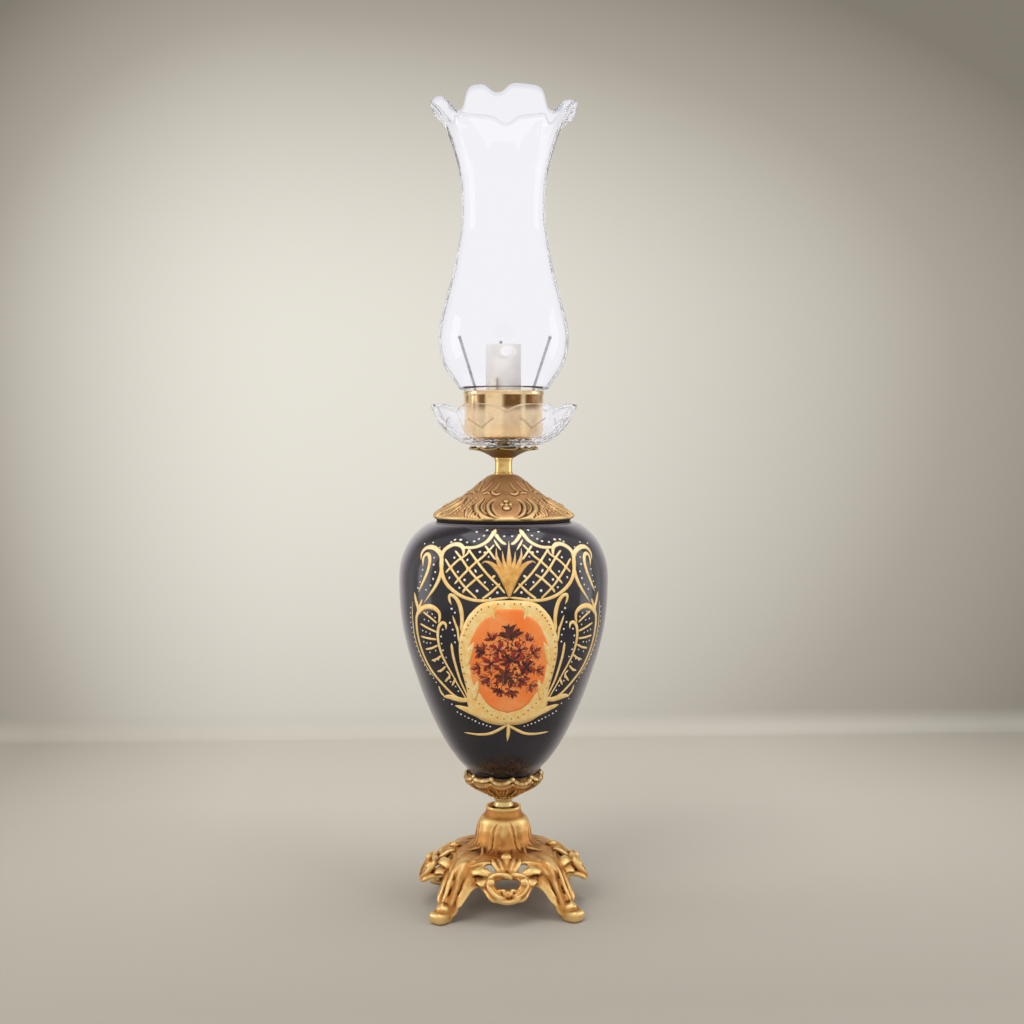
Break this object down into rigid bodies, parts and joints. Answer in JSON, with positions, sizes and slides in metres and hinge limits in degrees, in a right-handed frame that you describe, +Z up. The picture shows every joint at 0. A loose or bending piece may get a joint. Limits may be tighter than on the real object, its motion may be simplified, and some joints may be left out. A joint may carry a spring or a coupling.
{
  "type": "oil lamp",
  "caption": "Table lamp in oil-lamp form: porcelain vase on a scrolled brass foot, petal glass dish, gallery with spring prongs, small lampholder and a ruffled chimney that lifts off.",
  "frame": {"origin": "on the floor under the middle of the foot", "axes": "+Z up along the threaded tube, -Y out of the painted front, +X to the viewer's right"},
  "size_m": [0.1574, 0.1574, 0.6],
  "materials": {
    "cast_brass": "cast, antiqued, satin",
    "cover_brass": "cast, antiqued, warm",
    "bright_brass": "turned, satin",
    "polished_brass": "polished",
    "rod_brass": "threaded",
    "post_brass": "lacquered pale",
    "zinc_steel": "zinc plated",
    "spring_steel": "close-wound wire",
    "gasket": "matt",
    "porcelain": "high gloss, painted",
    "insert_ceramic": "matt",
    "cream_plastic": "satin off-white",
    "crystal": "clear, cut",
    "chimney_glass": "clear, thin"
  },
  "bodies": {
    "lamp": {"foot_casting": "cast_brass", "base_washer": "zinc_steel", "base_lock_washer": "zinc_steel", "base_nut": "zinc_steel", "tube_bush": "cream_plastic", "central_rod": "rod_brass", "neck_spacer": "bright_brass", "leaf_cup": "cast_brass", "lower_gasket": "gasket", "vase_body": "porcelain", "upper_gasket": "gasket", "vase_cover": "cover_brass", "stem_spacer": "bright_brass", "leaf_dish": "cast_brass", "dish_washer": "gasket", "glass_bobeche": "crystal", "gallery_washer": "gasket", "gallery_cup": "polished_brass", "gallery_nut": "zinc_steel", "prong_plate": "polished_brass", "prong_pins": "zinc_steel", "holder_cap": "cream_plastic", "holder_shell": "cream_plastic", "holder_insert": "insert_ceramic", "terminal_screws": "zinc_steel", "screw_shell": "polished_brass", "earth_post": "post_brass", "earth_screw": "zinc_steel"},
    "chimney": {"chimney": "chimney_glass"},
    "rear_prong": {"rear_prong": "spring_steel"},
    "left_prong": {"left_prong": "spring_steel"},
    "right_prong": {"right_prong": "spring_steel"},
    "contact": {"centre_contact": "polished_brass"}
  },
  "joints": [
    {"name": "chimney_lift", "type": "slide", "parent": "lamp", "child": "chimney", "axis": [0, 0, 1], "range_m": [0, 0.05]},
    {"name": "rear_prong_fold", "type": "hinge", "parent": "lamp", "child": "rear_prong", "pos_m": [0, 0.0157, 0.3617], "axis": [1, 0, 0], "range_deg": [0, 21]},
    {"name": "left_prong_fold", "type": "hinge", "parent": "lamp", "child": "left_prong", "pos_m": [-0.0136, -0.00785, 0.3617], "axis": [-0.5, 0.866, 0], "range_deg": [0, 21]},
    {"name": "right_prong_fold", "type": "hinge", "parent": "lamp", "child": "right_prong", "pos_m": [0.0136, -0.00785, 0.3617], "axis": [-0.5, -0.866, 0], "range_deg": [0, 21]},
    {"name": "contact_press", "type": "slide", "parent": "lamp", "child": "contact", "axis": [0, 0, 1], "range_m": [-0.0015, 0], "stiffness_N_per_m": 1500}
  ],
  "couplings": [
    {"joint": "rear_prong_fold", "follows": "chimney_lift", "rad_per_m": 6.98},
    {"joint": "left_prong_fold", "follows": "chimney_lift", "rad_per_m": 6.98},
    {"joint": "right_prong_fold", "follows": "chimney_lift", "rad_per_m": 6.98}
  ]
}
